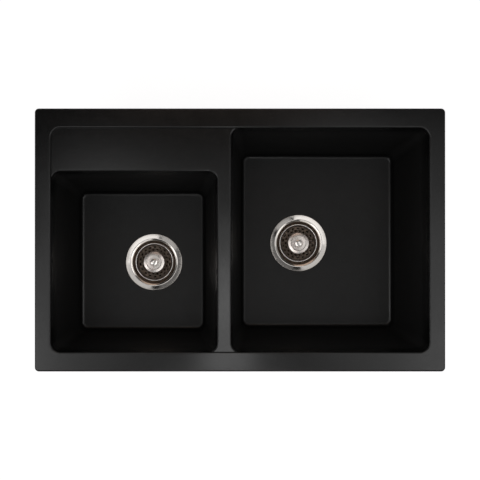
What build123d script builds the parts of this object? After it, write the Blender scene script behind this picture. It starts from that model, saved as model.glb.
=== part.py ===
from build123d import *
import os
from dataclasses import dataclass

# A double bowl kitchen sink, moulded in one piece of granite composite and let into a worktop from above.
# The rim and eight underside clips hold it. Each bowl drains through a basket strainer of pressed steel.
# Millimetres. z = 0 is the top of the worktop, x runs along the sink, +y points to the wall behind it,
# and the origin is the middle of the opening cut in the worktop.

# Rim and the recess inside it
SINK_LENGTH = 780.0
SINK_WIDTH = 500.0
SINK_CORNER_R = 8.0
RIM_HEIGHT = 9.0
RIM_EDGE_R = 3.0
RIM_AT_SIDES = 30.0
RIM_AT_FRONT = 36.5
RECESS_CORNER_R = 19.0
RECESS_SET_IN = 0.6  # the recess wall stands this far inside the bowls' edges and closes over their lips
RECESS_SKIRT = 9.0
LEDGE_DROP = 6.0
LEDGE_THICKNESS = 10.0
TAP_LEDGE_WIDTH = 82.5

# Bowls
LEFT_BOWL_LENGTH = 316.5
DIVIDER = 27.0
BOWL_DEPTH = 200.0
BOWL_WALL = 9.0
BOWL_FLOOR = 10.0
BOWL_CORNER_R = 17.5
BOWL_LIP_R = 3.5
FLOOR_FILLET_R = 10.0
UNDERSIDE_R = 14.0
LEFT_LEAN = (25.2, 30.6, 24.8, 29.8)  # how far the left, right, front and back walls come in at the floor
RIGHT_LEAN = (19.2, 40.3, 30.7, 35.0)
LEFT_DRAIN_OFFSET = (20.75, -5.25)  # from the middle of the bowl's opening
RIGHT_DRAIN_OFFSET = (-48.75, -6.5)
DRAIN_HOLE_R = 45.0
DRAIN_RECESS_DEPTH = 2.5

# Tap hole knock-outs, blind from below
KNOCK_OUT_R = 17.5
KNOCK_OUT_DEPTH = 6.0
KNOCK_OUT_SPACING = 110.0

# Foam seal in a groove under the rim
SEAL_FROM_EDGE = 4.0
SEAL_WIDTH = 6.0
SEAL_THICKNESS = 2.0

# Clips that pull the rim down onto the worktop
CLIP_FROM_END = 120.0
CLIP_FROM_RECESS = 12.0
CLIP_BOSS_R = 7.0
CLIP_BOSS_HEIGHT = 14.0
INSERT_R = 4.0
INSERT_LENGTH = 12.0
INSERT_CLEARANCE = 0.05
SCREW_R = 2.5
SCREW_LENGTH = 40.0
SCREW_ENGAGED = 6.0
SCREW_TRAVEL = 10.0
SCREW_TIP_ROOM = 1.5
SCREW_HEAD_R = 5.0
SCREW_HEAD_HEIGHT = 3.5
SCREW_HEAD_CHAMFER = 0.8
THREAD_CLEARANCE = 0.05
ARM_LENGTH = 32.0
ARM_WIDTH = 12.0
ARM_SHEET = 2.0
ARM_HOLE_CLEARANCE = 0.3
CLAW_HEIGHT = 7.0
CLAW_TEETH = 3
CLAW_TOOTH_DEPTH = 2.0

# Strainer cup, with radii from its axis and depths from the top of the bowl floor
FLANGE_R = 59.0
FLANGE_CLEARANCE = 1.0
FLANGE_EDGE_RISE = 0.2
FLANGE_CROWN_R = 49.6
FLANGE_CROWN_RISE = 0.8
FLANGE_CROWN_BEND = 5.0
CUP_SHEET = 1.5
CUP_MOUTH_R = 43.65
CUP_MOUTH_DEPTH = 0.6
CUP_SHOULDER_R = 39.8
CUP_SHOULDER_DEPTH = 8.0
CUP_FOOT_R = 38.8
CUP_DEPTH = 42.0
CUP_LIP_BEND = 4.5
CUP_SHOULDER_BEND = 4.0
CUP_FOOT_BEND = 6.0
OUTLET_BORE_R = 21.5
LOCKNUT_THREAD_R = 24.6
LOCKNUT_THREAD_LENGTH = 16.5
OUTLET_THREAD_R = 23.9
OUTLET_THREAD_LENGTH = 18.0
CROSS_BAR_DEPTH = 5.0
CROSS_BAR_THICKNESS = 3.0
CROSS_BAR_ARM_WIDTH = 4.0
CROSS_BAR_ARMS = 4
CROSS_BAR_HUB_R = 9.0
CROSS_BAR_HOLE_R = 5.0
CROSS_BAR_CLEARANCE = 0.05

# Gaskets, support cup and locknut that clamp the strainer to the bowl floor
FLANGE_GASKET_INNER_R = 52.5
FLANGE_GASKET_SET_IN = 0.5
GASKET_CLEARANCE = 0.05
UNDER_GASKET_THICKNESS = 3.0
UNDER_GASKET_OVERHANG = 1.0
SUPPORT_FLANGE_R = 53.0
SUPPORT_SHEET = 1.5
SUPPORT_WALL_GAP = 2.2
SUPPORT_FLOOR_GAP = 4.5
SUPPORT_BEND = 3.0
LOCKNUT_R = 29.0
LOCKNUT_HEIGHT = 10.0
LOCKNUT_CLEARANCE = 0.1
LOCKNUT_LUGS = 8
LOCKNUT_LUG_WIDTH = 7.0
LOCKNUT_LUG_REACH = 4.0

# Basket with its knob, post, rubber stopper and detent
BASKET_SHEET = 1.0
BASKET_RUNNING_GAP = 0.6
BASKET_RIM_DEPTH = 8.0
BASKET_BEAD_R = 0.8
BASKET_WAIST_R = 34.6
BASKET_WAIST_DEPTH = 22.0
BASKET_FLOOR_R = 22.0
BASKET_BEND = 3.0
BASKET_HOLE_R = 2.0
BASKET_HOLES = 18
BASKET_HOLE_ROWS = (0.71, 0.26)  # how far down the perforated slope each row of holes lies
STOPPER_HEIGHT = 7.2
STOPPER_SEAT_GAP = 0.3
STOPPER_SEAT_OVERLAP = 3.0
STOPPER_LIP_WIDTH = 4.0
STOPPER_LIP_HEIGHT = 2.2
STOPPER_HUB_R = 13.0
WASHER_R = 9.0
WASHER_THICKNESS = 1.2
POST_R = 3.0
POST_UPPER_R = 4.5
POST_CLEARANCE = 0.1
KNOB_R = 22.8
KNOB_SHEET = 1.2
KNOB_TOP = 4.0
KNOB_SKIRT = 9.0
KNOB_BEAD_WIDTH = 7.2
KNOB_DISH_DEPTH = 2.8
KNOB_BEAD_BEND = 2.0
KNOB_DIMPLE_R = 9.0
KNOB_DIMPLE_DEPTH = 0.6
KNOB_SCREW_R = 1.5
KNOB_SCREW_LENGTH = 8.0
KNOB_SCREW_HEAD_R = 7.2
KNOB_SCREW_HEAD_HEIGHT = 1.3
DETENT_SHEET = 0.5
DETENT_COLLAR = 5.0
DETENT_CLEARANCE = 0.3
DETENT_BULGE_DROP = 8.0
DETENT_TIP_DROP = 4.0
DETENT_TIP_R = 3.2
DETENT_SLOT = 1.4

# Sizes that follow from those above
LEDGE_Z = RIM_HEIGHT - LEDGE_DROP
FLOOR_Z = RIM_HEIGHT - BOWL_DEPTH
UNDERSIDE_Z = FLOOR_Z - BOWL_FLOOR
RECESS_X = SINK_LENGTH / 2 - RIM_AT_SIDES
RECESS_Y = SINK_WIDTH / 2 - RIM_AT_FRONT
SEAL_X = SINK_LENGTH / 2 - SEAL_FROM_EDGE
SEAL_Y = SINK_WIDTH / 2 - SEAL_FROM_EDGE
CUP_OUTLET_Z = -CUP_DEPTH - CUP_SHEET
OUTLET_THREAD_Z = CUP_OUTLET_Z - LOCKNUT_THREAD_LENGTH
OUTLET_END_Z = OUTLET_THREAD_Z - OUTLET_THREAD_LENGTH
SUPPORT_TOP_Z = -BOWL_FLOOR - UNDER_GASKET_THICKNESS
SUPPORT_FLOOR_Z = CUP_OUTLET_Z - SUPPORT_FLOOR_GAP - SUPPORT_SHEET
STOPPER_FOOT_Z = STOPPER_SEAT_GAP - CUP_DEPTH
BASKET_UNDER_Z = STOPPER_FOOT_Z + STOPPER_HEIGHT
WASHER_TOP_Z = STOPPER_FOOT_Z + STOPPER_LIP_HEIGHT
WASHER_UNDER_Z = WASHER_TOP_Z - WASHER_THICKNESS
KNOB_DISC_Z = KNOB_TOP - KNOB_DISH_DEPTH - KNOB_DIMPLE_DEPTH
SCREW_TIP_Z = SCREW_ENGAGED - CLIP_BOSS_HEIGHT
SCREW_HEAD_Z = SCREW_TIP_Z - SCREW_LENGTH


@dataclass
class Bowl:
    """One bowl: the edges (left, right, front, back) of its opening, the lean of its walls and its drain."""

    edges: tuple
    lean: tuple
    drain_offset: tuple

    def floor_edges(self):
        """The edges of the floor, where the leaning walls would meet it."""
        left, right, front, back = self.edges
        return (left + self.lean[0], right - self.lean[1], front + self.lean[2], back - self.lean[3])

    def drain(self):
        """The drain's centre on top of the floor."""
        left, right, front, back = self.edges
        return ((left + right) / 2 + self.drain_offset[0], (front + back) / 2 + self.drain_offset[1], FLOOR_Z)


DIVIDER_LEFT = LEFT_BOWL_LENGTH - RECESS_X
DIVIDER_RIGHT = DIVIDER_LEFT + DIVIDER
LEDGE_FRONT = RECESS_Y - TAP_LEDGE_WIDTH
BOWLS = {
    "left": Bowl((-RECESS_X, DIVIDER_LEFT, -RECESS_Y, LEDGE_FRONT), LEFT_LEAN, LEFT_DRAIN_OFFSET),
    "right": Bowl((DIVIDER_RIGHT, RECESS_X, -RECESS_Y, RECESS_Y), RIGHT_LEAN, RIGHT_DRAIN_OFFSET),
}

# Each clip's place and the direction, in degrees, in which its arm reaches out under the worktop
CLIP_X = RECESS_X + CLIP_FROM_RECESS
CLIP_Y = RECESS_Y + CLIP_FROM_RECESS
END_CLIP_X = SINK_LENGTH / 2 - CLIP_FROM_END
CLIPS = [(x, -CLIP_Y, -90) for x in (-END_CLIP_X, 0, END_CLIP_X)]
CLIPS += [(CLIP_X, 0, 0)]
CLIPS += [(x, CLIP_Y, 90) for x in (END_CLIP_X, 0, -END_CLIP_X)]
CLIPS += [(-CLIP_X, 0, 180)]


def grown(edges, amount):
    """The edges (left, right, front, back) of a rectangle, moved out on every side."""
    left, right, front, back = edges
    return (left - amount, right + amount, front - amount, back + amount)


def rounded_plan(half_x, half_y, corner_r, z):
    """A rounded rectangle about the z axis, from its half lengths."""
    return Pos(0, 0, z) * RectangleRounded(2 * half_x, 2 * half_y, corner_r)


def cylinder(radius, top, bottom):
    """An upright cylinder on the z axis between two heights."""
    return extrude(Pos(0, 0, bottom) * Circle(radius), top - bottom)


def turned(points):
    """A solid turned about the z axis from an outline of (radius, height) points."""
    return revolve(Plane.XZ * make_face(Polyline(*points, close=True)), Axis.Z)


def turned_sheet(points, bends, thickness):
    """Sheet metal turned about the z axis: its middle line runs through (radius, height) points, with bends
    at the points between its ends."""
    return revolve(Plane.XZ * trace(FilletPolyline(*points, radius=bends), thickness), Axis.Z)


def corner_points(edges, z):
    """The four corners of the rectangle (left, right, front, back) at height z, in order round it."""
    left, right, front, back = edges
    return [Vector(left, front, z), Vector(right, front, z), Vector(right, back, z), Vector(left, back, z)]


def leaning_block(bowl, grow, foot_z, foot_r):
    """A bowl's form from the ledge down to foot_z, grown on every side, with flat leaning walls."""
    top = corner_points(grown(bowl.edges, grow), LEDGE_Z)
    foot = corner_points(grown(bowl.floor_edges(), grow), foot_z)
    walls = [[foot[i - 1], foot[i], top[i], top[i - 1]] for i in range(4)]
    block = Solid(Shell([Face(Wire.make_polygon(outline)) for outline in (top, foot, *walls)]))
    upright = [edge for edge in block.edges() if abs(edge.tangent_at(0).Z) > 0.5]
    block = fillet(upright, BOWL_CORNER_R + grow)
    return fillet(block.faces().sort_by(Axis.Z)[0].edges(), foot_r)


def bowl_hollow(bowl):
    """The space inside a bowl."""
    return leaning_block(bowl, 0, FLOOR_Z, FLOOR_FILLET_R)


def bowl_outside(bowl):
    """The outer form of a bowl, one wall thickness outside its hollow."""
    return leaning_block(bowl, BOWL_WALL, UNDERSIDE_Z, UNDERSIDE_R)


def ledge():
    """The tap ledge behind the left bowl and the divider, which lie level inside the rim."""
    reach_x = RECESS_X + BOWL_WALL
    reach_y = RECESS_Y + BOWL_WALL
    tap_ledge = (-reach_x, DIVIDER_RIGHT + BOWL_WALL, LEDGE_FRONT - BOWL_WALL, reach_y)
    divider = (DIVIDER_LEFT - BOWL_WALL, DIVIDER_RIGHT + BOWL_WALL, -reach_y, reach_y)
    inside_rim = rounded_plan(reach_x, reach_y, RECESS_CORNER_R + BOWL_WALL, LEDGE_Z)
    plan = Sketch()
    for left, right, front, back in (tap_ledge, divider):
        plan += Pos((left + right) / 2, (front + back) / 2, LEDGE_Z) * Rectangle(right - left, back - front)
    return extrude(plan & inside_rim, -LEDGE_THICKNESS)


def rim():
    """The flat rim on the worktop and the short recess wall that drops from it past the bowls' lips."""
    inner_x = RECESS_X - RECESS_SET_IN
    inner_y = RECESS_Y - RECESS_SET_IN
    inner_r = RECESS_CORNER_R - RECESS_SET_IN
    foot_z = LEDGE_Z - RECESS_SKIRT
    wall = (BOWL_LIP_R + BOWL_WALL) / 2
    slab = extrude(rounded_plan(SINK_LENGTH / 2, SINK_WIDTH / 2, SINK_CORNER_R, 0), RIM_HEIGHT)
    skirt = extrude(rounded_plan(inner_x + wall, inner_y + wall, inner_r + wall, foot_z), LEDGE_Z - foot_z)
    frame = slab + skirt - extrude(rounded_plan(inner_x, inner_y, inner_r, foot_z), RIM_HEIGHT - foot_z)
    frame = fillet(frame.faces().sort_by(Axis.Z)[-1].edges(), RIM_EDGE_R)
    return frame - seal_ring()


def seal_ring():
    """A flat ring that fills the groove under the rim."""
    outer_r = SINK_CORNER_R - SEAL_FROM_EDGE
    inside = Rectangle(2 * (SEAL_X - SEAL_WIDTH), 2 * (SEAL_Y - SEAL_WIDTH))
    return extrude(rounded_plan(SEAL_X, SEAL_Y, outer_r, 0) - inside, SEAL_THICKNESS)


def clip_boss(x, y):
    """A boss under the rim that takes one clip's insert."""
    return Pos(x, y) * cylinder(CLIP_BOSS_R, LEDGE_Z, -CLIP_BOSS_HEIGHT)


def clip_boss_hole(x, y):
    """The blind hole for the insert, deep enough for the screw to travel up past it."""
    top = SCREW_TIP_Z + SCREW_TRAVEL + SCREW_TIP_ROOM
    return Pos(x, y) * cylinder(INSERT_R + INSERT_CLEARANCE, top, -CLIP_BOSS_HEIGHT)


def knock_outs():
    """Two blind pockets under the tap ledge, which are broken through where a tap is fitted."""
    middle_x = (DIVIDER_LEFT - RECESS_X) / 2
    middle_y = (LEDGE_FRONT + RECESS_Y) / 2
    bottom = LEDGE_Z - LEDGE_THICKNESS
    pocket = cylinder(KNOCK_OUT_R, bottom + KNOCK_OUT_DEPTH, bottom)
    return [Pos(middle_x + side * KNOCK_OUT_SPACING / 2, middle_y) * pocket for side in (-1, 1)]


def drain_cuts(bowl):
    """The drain hole through a bowl's floor and the recess that the strainer's flange lies in."""
    recess = cylinder(FLANGE_R + FLANGE_CLEARANCE, FLOOR_FILLET_R, -DRAIN_RECESS_DEPTH)
    hole = cylinder(DRAIN_HOLE_R, 0, -2 * BOWL_FLOOR)
    return Pos(*bowl.drain()) * (recess + hole)


def sink_body():
    """The moulded body: two bowls, tap ledge, divider and rim in one piece."""
    body = ledge()
    for bowl in BOWLS.values():
        body += bowl_outside(bowl)
    for bowl in BOWLS.values():
        body -= bowl_hollow(bowl)
    level = body.faces().filter_by(Plane.XY).sort_by(Axis.Z)[-1]
    body = fillet([edge for wire in level.inner_wires() for edge in wire.edges()], BOWL_LIP_R)
    body += rim()
    for bowl in BOWLS.values():
        body -= drain_cuts(bowl)
    for x, y, _ in CLIPS:
        body = body + clip_boss(x, y) - clip_boss_hole(x, y)
    for pocket in knock_outs():
        body -= pocket
    return body


def rim_seal():
    """Foam tape in the groove under the rim."""
    return seal_ring()


def clip_insert():
    """A brass insert moulded into a boss, threaded for the clip's screw."""
    bottom = -CLIP_BOSS_HEIGHT
    top = bottom + INSERT_LENGTH
    return cylinder(INSERT_R, top, bottom) - cylinder(SCREW_R + THREAD_CLEARANCE, top, bottom)


def clip_screw():
    """The screw that draws a clip's arm up under the worktop."""
    head = cylinder(SCREW_HEAD_R, SCREW_HEAD_Z, SCREW_HEAD_Z - SCREW_HEAD_HEIGHT)
    head = chamfer(head.edges().sort_by(Axis.Z)[0], SCREW_HEAD_CHAMFER)
    return head + cylinder(SCREW_R, SCREW_TIP_Z, SCREW_HEAD_Z)


def clip_arm():
    """A pressed steel arm along +x: a round end on the screw, and a toothed claw turned up at the far end."""
    reach = ARM_LENGTH - ARM_WIDTH / 2
    plan = Circle(ARM_WIDTH / 2) + Pos(reach / 2, 0) * Rectangle(reach, ARM_WIDTH)
    plan -= Circle(SCREW_R + ARM_HOLE_CLEARANCE)
    plate = extrude(Pos(0, 0, SCREW_HEAD_Z) * plan, ARM_SHEET)
    tooth = ARM_WIDTH / CLAW_TEETH
    half = ARM_WIDTH / 2
    top = SCREW_HEAD_Z + CLAW_HEIGHT
    steps = range(2 * CLAW_TEETH + 1)
    teeth = [(half - step * tooth / 2, top - (step % 2) * CLAW_TOOTH_DEPTH) for step in steps]
    outline = Polyline((-half, SCREW_HEAD_Z), (half, SCREW_HEAD_Z), *teeth, close=True)
    claw = extrude(Plane.YZ * make_face(outline), ARM_SHEET)
    return plate + Pos(reach - ARM_SHEET) * claw


def drain_cup():
    """The strainer's pressed cup: a flange that rolls over a low crown, a tapered wall and a floor with a hole."""
    half = CUP_SHEET / 2
    points = [
        (FLANGE_R, FLANGE_EDGE_RISE - half),
        (FLANGE_CROWN_R, FLANGE_CROWN_RISE - half),
        (CUP_MOUTH_R + half, -CUP_MOUTH_DEPTH - half),
        (CUP_SHOULDER_R + half, -CUP_SHOULDER_DEPTH),
        (CUP_FOOT_R + half, -CUP_DEPTH - half),
        (OUTLET_BORE_R, -CUP_DEPTH - half),
    ]
    bends = [FLANGE_CROWN_BEND, CUP_LIP_BEND, CUP_SHOULDER_BEND, CUP_FOOT_BEND]
    return turned_sheet(points, bends, CUP_SHEET)


def drain_outlet():
    """The turned outlet under the cup: a thread for the locknut, and a smaller one for the waste trap's nut."""
    outlet = cylinder(LOCKNUT_THREAD_R, CUP_OUTLET_Z, OUTLET_THREAD_Z)
    outlet += cylinder(OUTLET_THREAD_R, OUTLET_THREAD_Z, OUTLET_END_Z)
    return outlet - cylinder(OUTLET_BORE_R, CUP_OUTLET_Z, OUTLET_END_Z)


def cross_bar():
    """The cross bar in the outlet: a hub with a hole for the post's spring, and its arms."""
    reach = OUTLET_BORE_R - CROSS_BAR_CLEARANCE
    arms = Sketch()
    for index in range(CROSS_BAR_ARMS):
        arms += Rot(0, 0, index * 360 / CROSS_BAR_ARMS) * Pos(reach / 2, 0) * Rectangle(reach, CROSS_BAR_ARM_WIDTH)
    plan = Circle(CROSS_BAR_HUB_R) + (arms & Circle(reach)) - Circle(CROSS_BAR_HOLE_R)
    return extrude(Pos(0, 0, -CUP_DEPTH - CROSS_BAR_DEPTH) * plan, -CROSS_BAR_THICKNESS)


def flange_gasket():
    """The foam ring that beds the flange in its recess and follows the slope of its underside."""
    outer_r = FLANGE_R - FLANGE_GASKET_SET_IN
    outer_top = FLANGE_EDGE_RISE - CUP_SHEET - GASKET_CLEARANCE
    slope = (FLANGE_CROWN_RISE - FLANGE_EDGE_RISE) / (FLANGE_R - FLANGE_CROWN_R)
    inner_top = outer_top + slope * (outer_r - FLANGE_GASKET_INNER_R)
    return turned(
        [
            (FLANGE_GASKET_INNER_R, -DRAIN_RECESS_DEPTH),
            (outer_r, -DRAIN_RECESS_DEPTH),
            (outer_r, outer_top),
            (FLANGE_GASKET_INNER_R, inner_top),
        ]
    )


def under_gasket():
    """The rubber ring between the sink's underside and the support cup."""
    ring = cylinder(SUPPORT_FLANGE_R, -BOWL_FLOOR, SUPPORT_TOP_Z)
    return ring - cylinder(DRAIN_HOLE_R - UNDER_GASKET_OVERHANG, -BOWL_FLOOR, SUPPORT_TOP_Z)


def support_cup():
    """The outer steel cup that the locknut pulls up against the underside."""
    half = SUPPORT_SHEET / 2
    floor_z = SUPPORT_FLOOR_Z + half
    points = [
        (SUPPORT_FLANGE_R, SUPPORT_TOP_Z - half),
        (CUP_SHOULDER_R + CUP_SHEET + SUPPORT_WALL_GAP + half, SUPPORT_TOP_Z - half),
        (CUP_FOOT_R + CUP_SHEET + SUPPORT_WALL_GAP + half, floor_z),
        (LOCKNUT_THREAD_R + LOCKNUT_CLEARANCE, floor_z),
    ]
    return turned_sheet(points, [0, SUPPORT_BEND], SUPPORT_SHEET)


def cup_locknut():
    """The moulded nut on the cup's outlet, with lugs for the fingers."""
    plan = Circle(LOCKNUT_R)
    reach = LOCKNUT_R + LOCKNUT_LUG_REACH
    for index in range(LOCKNUT_LUGS // 2):
        plan += Rot(0, 0, index * 360 / LOCKNUT_LUGS) * Rectangle(2 * reach, LOCKNUT_LUG_WIDTH)
    plan -= Circle(LOCKNUT_THREAD_R + LOCKNUT_CLEARANCE)
    return extrude(Pos(0, 0, SUPPORT_FLOOR_Z) * plan, -LOCKNUT_HEIGHT)


def basket():
    """The perforated basket: a beaded rim, a plain tapered wall, a perforated slope and a flat floor."""
    half = BASKET_SHEET / 2
    rim_r = CUP_SHOULDER_R - BASKET_RUNNING_GAP - BASKET_BEAD_R
    floor_z = BASKET_UNDER_Z + half
    waist = (BASKET_WAIST_R, -BASKET_WAIST_DEPTH)
    foot = (BASKET_FLOOR_R, floor_z)
    points = [(rim_r, -BASKET_RIM_DEPTH), waist, foot, (POST_R + POST_CLEARANCE, floor_z)]
    shell = turned_sheet(points, BASKET_BEND, BASKET_SHEET)
    bead = Plane.XZ * Pos(rim_r, -BASKET_RIM_DEPTH) * Circle(BASKET_BEAD_R)
    shell += revolve(bead, Axis.Z)
    slope = Vector(foot[0] - waist[0], 0, foot[1] - waist[1])
    across = Vector(slope.Z, 0, -slope.X).normalized()
    for row, share in enumerate(BASKET_HOLE_ROWS):
        middle = Vector(waist[0], 0, waist[1]) + slope * share
        drill = Plane(origin=middle, z_dir=across) * Cylinder(BASKET_HOLE_R, 4 * BASKET_SHEET)
        for index in range(BASKET_HOLES):
            shell -= Rot(0, 0, (index + row / 2) * 360 / BASKET_HOLES) * drill
    return shell


def basket_stopper():
    """The rubber stopper under the basket, whose lip closes the outlet when the basket is down."""
    lip_r = OUTLET_BORE_R + STOPPER_SEAT_OVERLAP
    return turned(
        [
            (POST_R, BASKET_UNDER_Z),
            (STOPPER_HUB_R, BASKET_UNDER_Z),
            (lip_r, WASHER_TOP_Z),
            (lip_r, STOPPER_FOOT_Z),
            (lip_r - STOPPER_LIP_WIDTH, STOPPER_FOOT_Z),
            (lip_r - STOPPER_LIP_WIDTH - STOPPER_LIP_HEIGHT, WASHER_TOP_Z),
            (POST_R, WASHER_TOP_Z),
        ]
    )


def stopper_washer():
    """The steel washer that backs the stopper."""
    return cylinder(WASHER_R, WASHER_TOP_Z, WASHER_UNDER_Z) - cylinder(POST_R, WASHER_TOP_Z, WASHER_UNDER_Z)


def basket_post():
    """The stepped post that carries the knob, basket and stopper, tapped for the knob's screw."""
    top = KNOB_DISC_Z - KNOB_SHEET
    post = cylinder(POST_UPPER_R, top, BASKET_UNDER_Z + BASKET_SHEET)
    post += cylinder(POST_R, top, WASHER_UNDER_Z - DETENT_COLLAR)
    return post - cylinder(KNOB_SCREW_R, top, KNOB_DISC_Z - KNOB_SCREW_LENGTH)


def basket_knob():
    """The pressed cap that lifts the basket: a straight skirt, a rolled bead and a dished, dimpled top."""
    half = KNOB_SHEET / 2
    outer = KNOB_R - half
    inner = KNOB_R - KNOB_BEAD_WIDTH + half
    dish_z = KNOB_DISC_Z + KNOB_DIMPLE_DEPTH - half
    points = [
        (outer, KNOB_TOP - KNOB_SKIRT),
        (outer, KNOB_TOP - half),
        (inner, KNOB_TOP - half),
        (inner, dish_z),
        (KNOB_DIMPLE_R, dish_z),
        (KNOB_DIMPLE_R - KNOB_DIMPLE_DEPTH, KNOB_DISC_Z - half),
        (KNOB_SCREW_R, KNOB_DISC_Z - half),
    ]
    return turned_sheet(points, [KNOB_BEAD_BEND, KNOB_BEAD_BEND, 0, 0, 0], KNOB_SHEET)


def knob_screw():
    """The dome-headed screw in the middle of the knob."""
    rise = KNOB_SCREW_HEAD_HEIGHT
    dome_r = (KNOB_SCREW_HEAD_R**2 + rise**2) / (2 * rise)
    ball = Pos(0, 0, KNOB_DISC_Z + rise - dome_r) * Sphere(dome_r)
    dome = ball & cylinder(KNOB_SCREW_HEAD_R, KNOB_DISC_Z + rise, KNOB_DISC_Z)
    return dome + cylinder(KNOB_SCREW_R, KNOB_DISC_Z, KNOB_DISC_Z - KNOB_SCREW_LENGTH)


def detent_clip():
    """The slotted spring on the post's end, whose bulge snaps through the cross bar to hold the basket up."""
    half = DETENT_SHEET / 2
    collar_z = WASHER_UNDER_Z - DETENT_COLLAR
    bulge_z = collar_z - DETENT_BULGE_DROP
    tip_z = bulge_z - DETENT_TIP_DROP
    points = [
        (POST_R + half, WASHER_UNDER_Z),
        (POST_R + half, collar_z),
        (CROSS_BAR_HOLE_R - DETENT_CLEARANCE - half, bulge_z),
        (DETENT_TIP_R, tip_z),
    ]
    spring = turned_sheet(points, [0, 0], DETENT_SHEET)
    slot_plan = Pos(0, 0, tip_z - DETENT_SHEET) * Rectangle(2 * CROSS_BAR_HOLE_R, DETENT_SLOT)
    slot = extrude(slot_plan, collar_z - tip_z)
    return spring - slot - Rot(0, 0, 90) * slot


STRAINER_PIECES = {
    "drain_cup": drain_cup,
    "drain_outlet": drain_outlet,
    "cross_bar": cross_bar,
    "flange_gasket": flange_gasket,
    "under_gasket": under_gasket,
    "support_cup": support_cup,
    "cup_locknut": cup_locknut,
    "basket": basket,
    "basket_stopper": basket_stopper,
    "stopper_washer": stopper_washer,
    "basket_post": basket_post,
    "basket_knob": basket_knob,
    "knob_screw": knob_screw,
    "detent_clip": detent_clip,
}


def all_pieces():
    """Every piece of the sink by name, each in its place."""
    pieces = {"sink_body": sink_body(), "rim_seal": rim_seal()}
    insert, screw, arm = clip_insert(), clip_screw(), clip_arm()
    for number, (x, y, outward) in enumerate(CLIPS, 1):
        pieces[f"clip_insert_{number}"] = Pos(x, y) * insert
        pieces[f"clip_screw_{number}"] = Pos(x, y) * screw
        pieces[f"clip_arm_{number}"] = Pos(x, y) * Rot(0, 0, outward + 90) * arm
    for name, make in STRAINER_PIECES.items():
        piece = make()
        for side, bowl in BOWLS.items():
            pieces[f"{name}_{side}"] = Pos(*bowl.drain()) * piece
    return pieces


os.makedirs("parts", exist_ok=True)
for node, solid in all_pieces().items():
    export_step(solid, f"parts/{node}.step")
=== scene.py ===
"""Double bowl kitchen sink in dark granite composite with basket strainers, seen from straight above."""
import math

import bpy
import numpy as np
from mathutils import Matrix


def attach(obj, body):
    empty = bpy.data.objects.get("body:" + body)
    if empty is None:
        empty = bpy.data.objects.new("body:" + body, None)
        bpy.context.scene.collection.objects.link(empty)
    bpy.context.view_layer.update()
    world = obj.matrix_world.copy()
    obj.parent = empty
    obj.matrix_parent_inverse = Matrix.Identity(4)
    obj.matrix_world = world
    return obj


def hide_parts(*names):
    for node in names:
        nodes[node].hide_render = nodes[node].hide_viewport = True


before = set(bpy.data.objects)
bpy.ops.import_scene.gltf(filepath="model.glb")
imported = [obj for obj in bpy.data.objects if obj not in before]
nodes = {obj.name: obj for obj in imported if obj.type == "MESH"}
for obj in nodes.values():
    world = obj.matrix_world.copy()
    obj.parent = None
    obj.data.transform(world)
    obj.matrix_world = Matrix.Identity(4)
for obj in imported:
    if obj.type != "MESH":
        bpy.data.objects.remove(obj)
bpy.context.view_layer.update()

# ---------------------------------------------------------------- camera
# It hangs above the middle of the worktop cut-out and looks straight down, with the wall side at the top of
# the picture. At this height one pixel covers 1.9 mm of the rim.
CAMERA_ABOVE_RIM = 1.810
RIM_TOP = 0.009
VIEW_WIDTH_AT_RIM = 0.9108

camera = bpy.data.objects.new("overhead_camera", bpy.data.cameras.new("overhead_camera"))
camera.data.sensor_width = 36.0
camera.data.angle = 2 * math.atan(VIEW_WIDTH_AT_RIM / 2 / CAMERA_ABOVE_RIM)
camera.location = (0, 0, RIM_TOP + CAMERA_ABOVE_RIM)
bpy.context.scene.collection.objects.link(camera)
bpy.context.scene.camera = camera

# ---------------------------------------------------------------- moulded body
# Rim, tap ledge, divider and both bowls, cast as one piece from crushed granite in dark resin and let into
# the worktop from above. Wiping has rubbed the rim, the ledge and the curve round each floor smoother than the
# walls, and the faces that look down are as the mould left them, dull and greyer.
LEDGE_TOP, FLOOR_TOP = 0.003, -0.191
RESIN = (0.0036, 0.0036, 0.0036)
GRAIN = (0.0056, 0.0055, 0.0055)
QUARTZ, QUARTZ_FROM = (0.024, 0.0235, 0.023), 0.93
RAW_BINDER, RAW_GRAIN = (0.056, 0.0546, 0.0539), (0.080, 0.078, 0.077)
RAW_ROUGHNESS = 0.75
LOOKS_DOWN = (-0.01, -0.06)
RUBBED = [(0.0, 0.6), (0.0015, 0.6), (0.004, 0.3), (0.04, 0.3), (0.07, 0.6), (0.8, 0.6), (0.975, 0.23)]
RUBBED += [(1.0, 0.23)]
GRAIN_SCALE, CLOUD_SCALE, PATCH_SCALE, PEEL_SCALE = 1500.0, 14.0, 60.0, 900.0
CLOUDING, UNEVENNESS = 0.12, 0.04
PEEL_STRENGTH, PEEL_HEIGHT = 0.25, 0.0002
RESIN_IOR = 1.63
MIX_FIRST, MIX_SECOND, MIX_RESULT = 6, 7, 2  # the colour sockets of a mix node


def finish_of(name, colour, roughness, metallic=0.0):
    """A new material with plain values on its shader. Gives the material, its node tree and the shader."""
    made = bpy.data.materials.new(name)
    made.use_nodes = True
    shader = made.node_tree.nodes["Principled BSDF"]
    shader.inputs["Base Color"].default_value = (*colour, 1)
    shader.inputs["Roughness"].default_value = roughness
    shader.inputs["Metallic"].default_value = metallic
    return made, made.node_tree, shader


def shader_node(tree, kind, sockets=None, **settings):
    """A node of one kind, with each named socket given a value or joined to the output that feeds it."""
    made = tree.nodes.new("ShaderNode" + kind)
    for name, value in settings.items():
        setattr(made, name, value)
    for name, value in (sockets or {}).items():
        if isinstance(value, bpy.types.NodeSocket):
            tree.links.new(value, made.inputs[name])
        else:
            made.inputs[name].default_value = value
    return made


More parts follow.
